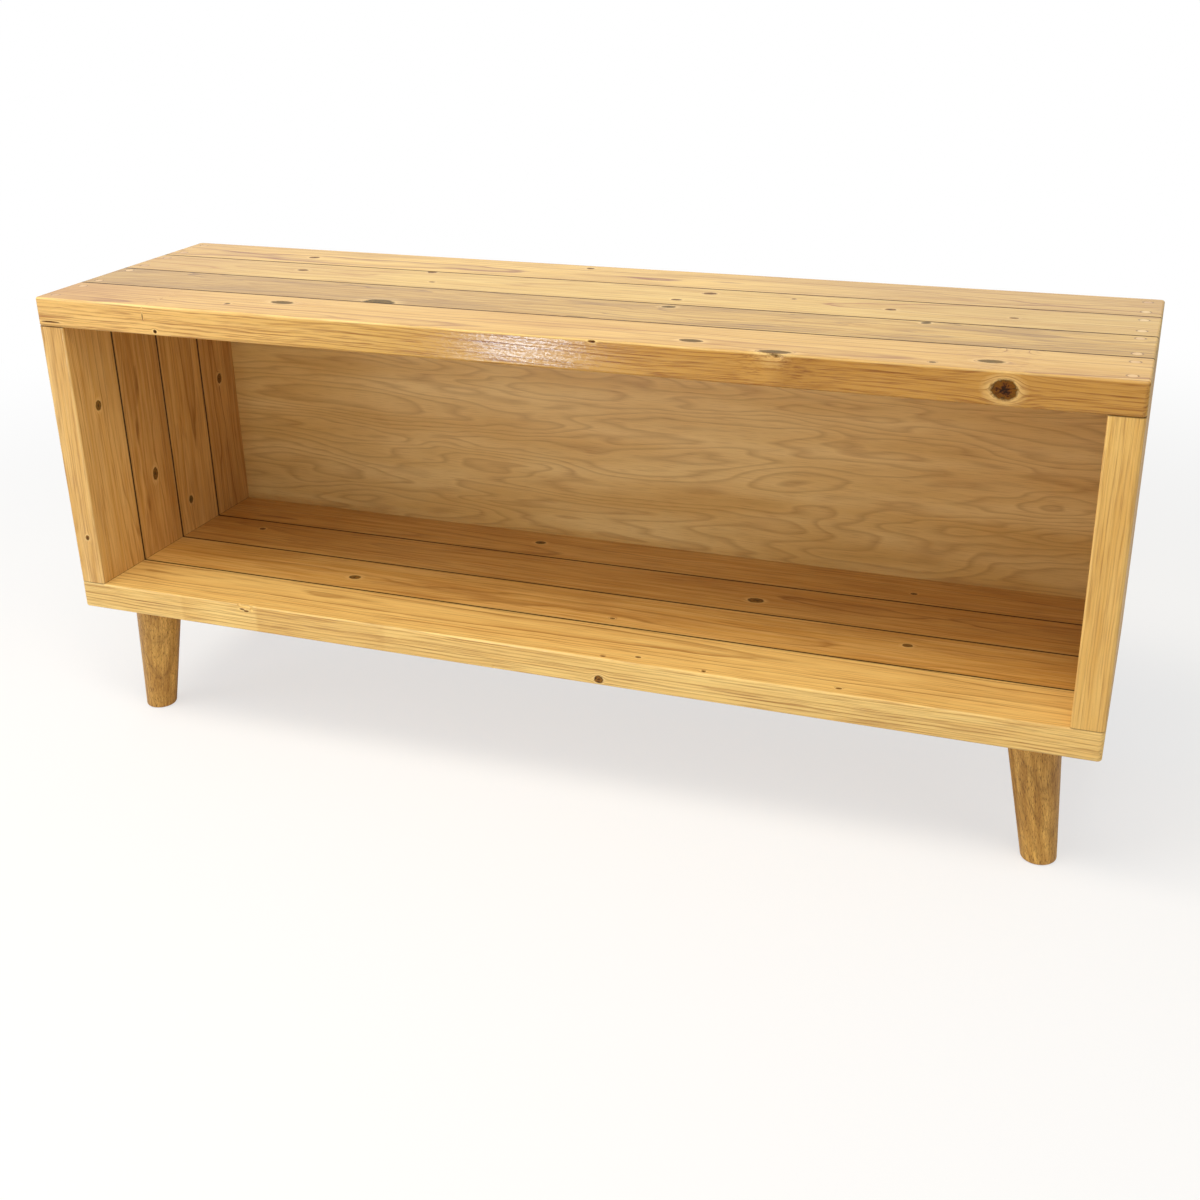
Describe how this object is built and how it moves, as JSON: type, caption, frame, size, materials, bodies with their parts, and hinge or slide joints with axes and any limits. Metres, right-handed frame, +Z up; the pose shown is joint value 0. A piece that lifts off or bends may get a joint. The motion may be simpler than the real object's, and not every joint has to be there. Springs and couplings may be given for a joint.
{
  "type": "record cabinet",
  "caption": "Long low open-fronted case of glued pine boards with one bay for records, on turned and splayed tapered legs.",
  "frame": {"origin": "on the floor under the middle of the case", "axes": "+X along the case to the right as seen from the front, +Y from the open front to the back panel, +Z up"},
  "size_m": [1.27, 0.35, 0.565],
  "materials": {
    "pine": "glossy clear lacquer over honey stain",
    "pine_plug": "glossy clear lacquer",
    "beech_dowel": "raw",
    "birch_ply": "satin lacquer",
    "leg_oak": "satin stain",
    "zinc_plate": "zinc plated",
    "zinc_bolt": "zinc plated",
    "zinc_screw": "yellow zinc plated"
  },
  "bodies": {
    "root": {"top_board_front": "pine", "top_board_second": "pine", "top_board_third": "pine", "top_board_rear": "pine", "bottom_board_front": "pine", "bottom_board_second": "pine", "bottom_board_third": "pine", "bottom_board_rear": "pine", "left_side_board_front": "pine", "left_side_board_second": "pine", "left_side_board_third": "pine", "left_side_board_rear": "pine", "right_side_board_front": "pine", "right_side_board_second": "pine", "right_side_board_third": "pine", "right_side_board_rear": "pine", "top_dowels": "beech_dowel", "bottom_dowels": "beech_dowel", "left_side_dowels": "beech_dowel", "right_side_dowels": "beech_dowel", "top_screw_plugs": "pine_plug", "back_panel": "birch_ply", "front_left_leg": "leg_oak", "front_right_leg": "leg_oak", "rear_left_leg": "leg_oak", "rear_right_leg": "leg_oak", "front_left_leg_plate": "zinc_plate", "front_right_leg_plate": "zinc_plate", "rear_left_leg_plate": "zinc_plate", "rear_right_leg_plate": "zinc_plate", "front_left_leg_bolt": "zinc_bolt", "front_right_leg_bolt": "zinc_bolt", "rear_left_leg_bolt": "zinc_bolt", "rear_right_leg_bolt": "zinc_bolt", "front_left_leg_bush": "zinc_bolt", "front_right_leg_bush": "zinc_bolt", "rear_left_leg_bush": "zinc_bolt", "rear_right_leg_bush": "zinc_bolt", "top_screws": "zinc_screw", "bottom_screws": "zinc_screw", "back_panel_screws": "zinc_screw", "leg_plate_screws": "zinc_screw"}
  },
  "joints": []
}
